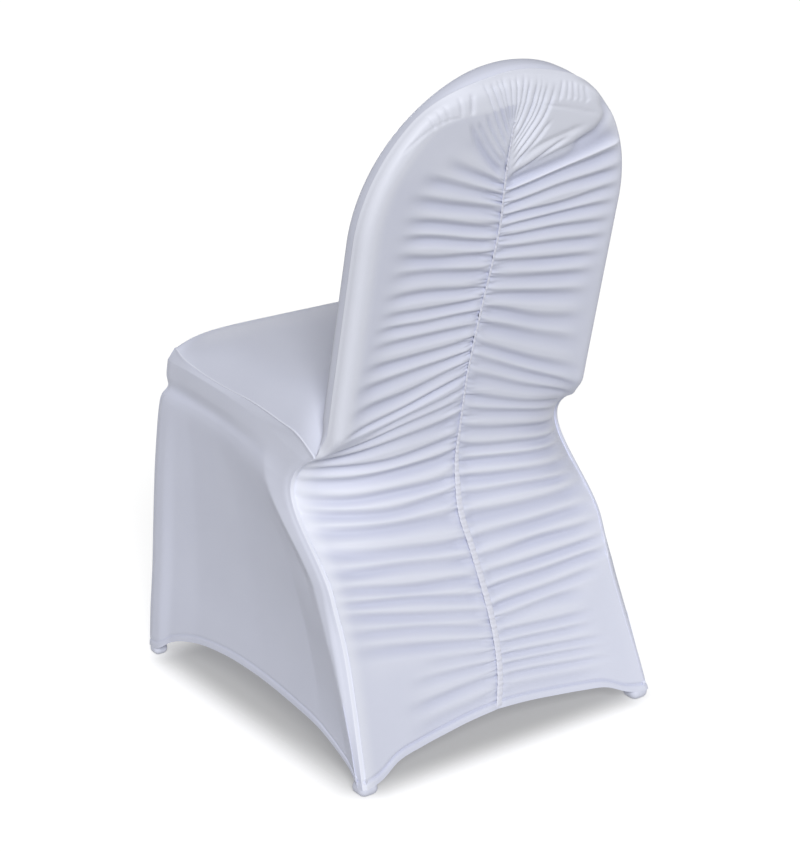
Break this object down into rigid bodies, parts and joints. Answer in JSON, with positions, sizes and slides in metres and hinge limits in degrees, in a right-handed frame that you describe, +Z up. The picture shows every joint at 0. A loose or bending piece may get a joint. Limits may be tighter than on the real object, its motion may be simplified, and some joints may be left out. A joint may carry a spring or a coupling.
{
  "type": "spandex chair cover",
  "caption": "Fitted stretch cover for a round-backed stacking chair, with a ruched back, a taut skirt and foot pockets.",
  "frame": {"origin": "inside the cover, under the crown of its back, where the top of the chair's back holds it up", "axes": "+Z up, -Y towards the front of the chair, +X towards the sitter's left"},
  "size_m": [0.492, 0.5369, 0.919],
  "materials": {
    "cloth": "white stretch knit with a soft sheen",
    "seam_tape": "white woven stretch tape, matt"
  },
  "bodies": {
    "root": {"front_panel": "cloth", "side_panel_left": "cloth", "side_panel_right": "cloth", "back_panel_left": "cloth", "back_panel_right": "cloth", "foot_pocket_rear_left": "cloth", "foot_pocket_rear_right": "cloth", "foot_pocket_front_left": "cloth", "foot_pocket_front_right": "cloth", "centre_seam_tape": "seam_tape"}
  },
  "joints": []
}
